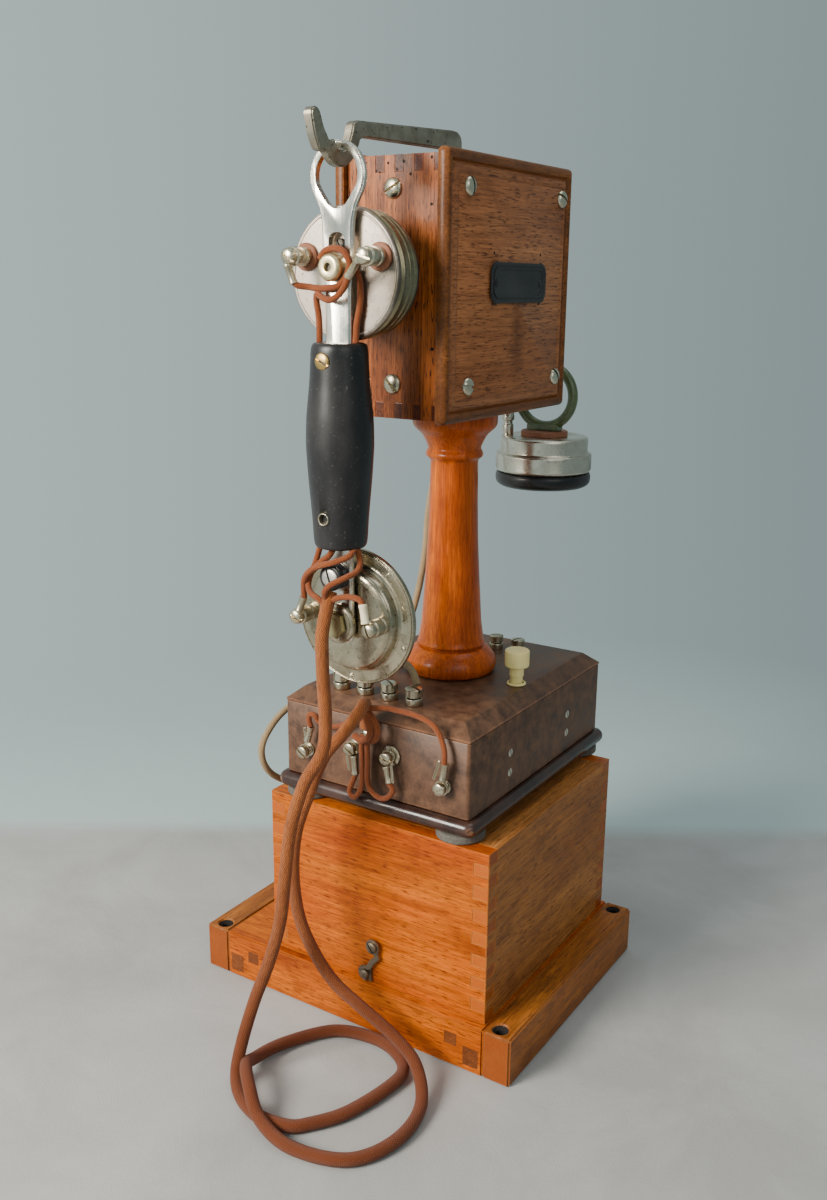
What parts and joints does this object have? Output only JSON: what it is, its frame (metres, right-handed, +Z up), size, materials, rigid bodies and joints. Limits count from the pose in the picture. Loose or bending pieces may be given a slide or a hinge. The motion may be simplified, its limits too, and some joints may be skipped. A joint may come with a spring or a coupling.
{
  "type": "desk telephone on battery box",
  "caption": "Antique desk telephone: wooden case on a turned column, handset on a switch hook, second hanging receiver, call button, wooden battery box under it.",
  "frame": {"origin": "middle of the plinth's underside, on the surface the object stands on", "axes": "+Z up; the front panel with the nameplate faces -Y; the handset hangs on the -X side"},
  "size_m": [0.3155, 0.2126, 0.4899],
  "materials": {
    "oak": "orange-brown varnished oak, semi-gloss",
    "walnut": "walnut, satin varnish",
    "mahogany": "orange-brown mahogany, French polished",
    "turned_wood": "turned and polished hardwood, glossy amber",
    "brown_paint": "chocolate-brown stained and waxed, matt",
    "ebony": "black polished, worn at the corners",
    "ebonite": "black hard rubber, satin",
    "nickel": "nickel plate, warm and slightly tarnished",
    "worn_nickel": "worn grey nickel plate",
    "brass": "spring brass, dull",
    "iron": "dark iron, bare or blackened",
    "green_magnet": "olive-green enamel",
    "ivory": "yellowed ivory, polished",
    "copper": "cotton-covered copper wire under varnish",
    "zinc_can": "dull zinc",
    "carbon": "matt carbon",
    "brown_braid": "orange-brown braided cotton",
    "beige_braid": "beige braided cotton",
    "grey_felt": "grey felt"
  },
  "bodies": {
    "root": {"back_panel": "walnut", "base_board": "ebony", "base_case": "brown_paint", "base_deck": "brown_paint", "battery_cell_1": "zinc_can", "battery_cell_2": "zinc_can", "battery_cord": "beige_braid", "battery_cover": "oak", "button_bush": "ivory", "button_spring": "brass", "case_frame": "mahogany", "coil_core": "iron", "coil_winding": "copper", "column": "turned_wood", "column_tie_rod": "iron", "contact_block": "ebonite", "contact_leaf": "brass", "deck_terminal_1": "nickel", "deck_terminal_2": "nickel", "deck_terminal_3": "nickel", "deck_terminal_4": "nickel", "foot_1": "grey_felt", "foot_2": "grey_felt", "foot_3": "grey_felt", "foot_4": "grey_felt", "front_panel": "walnut", "latch_pivot_screw": "iron", "latch_stud": "iron", "lever_bracket": "iron", "lever_pin": "iron", "line_terminal_1": "nickel", "line_terminal_2": "nickel", "line_terminal_3": "nickel", "line_terminal_4": "nickel", "line_terminal_5": "nickel", "main_cord": "brown_braid", "nameplate": "iron", "plinth": "oak", "receiver_cord": "beige_braid", "receiver_hook": "nickel"},
    "handset": {"handset_strip": "nickel", "handset_handle": "ebonite", "receiver_case": "nickel", "receiver_ear_cap": "ebonite", "receiver_diaphragm": "iron", "receiver_magnet": "iron", "receiver_clamp_nut": "nickel", "transmitter_case": "nickel", "mouthpiece": "ebonite", "carbon_capsule": "carbon", "transmitter_clamp_nut": "nickel", "cord_cleat": "ebonite"},
    "switch_lever": {"switch_lever": "worn_nickel"},
    "call_button": {"call_button": "ivory"},
    "second_receiver": {"second_receiver_case": "nickel", "second_receiver_cap": "ebonite", "second_receiver_diaphragm": "iron", "ring_magnet": "green_magnet"},
    "latch_hook": {"latch_hook": "iron"}
  },
  "joints": [
    {"name": "handset_lift", "type": "hinge", "parent": "root", "child": "handset", "pos_m": [-0.069, -0.0122, 0.5], "axis": [0, 1, 0], "range_deg": [0, 52], "deforming": ["main_cord"]},
    {"name": "hook_switch", "type": "hinge", "parent": "root", "child": "switch_lever", "pos_m": [0.0036, -0.0122, 0.4435], "axis": [0, 1, 0], "range_deg": [0, 2.6]},
    {"name": "button_press", "type": "slide", "parent": "root", "child": "call_button", "axis": [0, 0, -1], "range_m": [0, 0.003], "stiffness_N_per_m": 300},
    {"name": "receiver_lift", "type": "slide", "parent": "root", "child": "second_receiver", "axis": [0.7249, 0, 0.6889], "range_m": [0, 0.1], "deforming": ["receiver_cord"]},
    {"name": "latch_swing", "type": "hinge", "parent": "root", "child": "latch_hook", "pos_m": [-0.0764, -0.0167, 0.0531], "axis": [1, 0, 0], "range_deg": [0, 110]}
  ],
  "couplings": [
    {"joint": "hook_switch", "follows": "handset_lift", "ratio": 0.05}
  ]
}
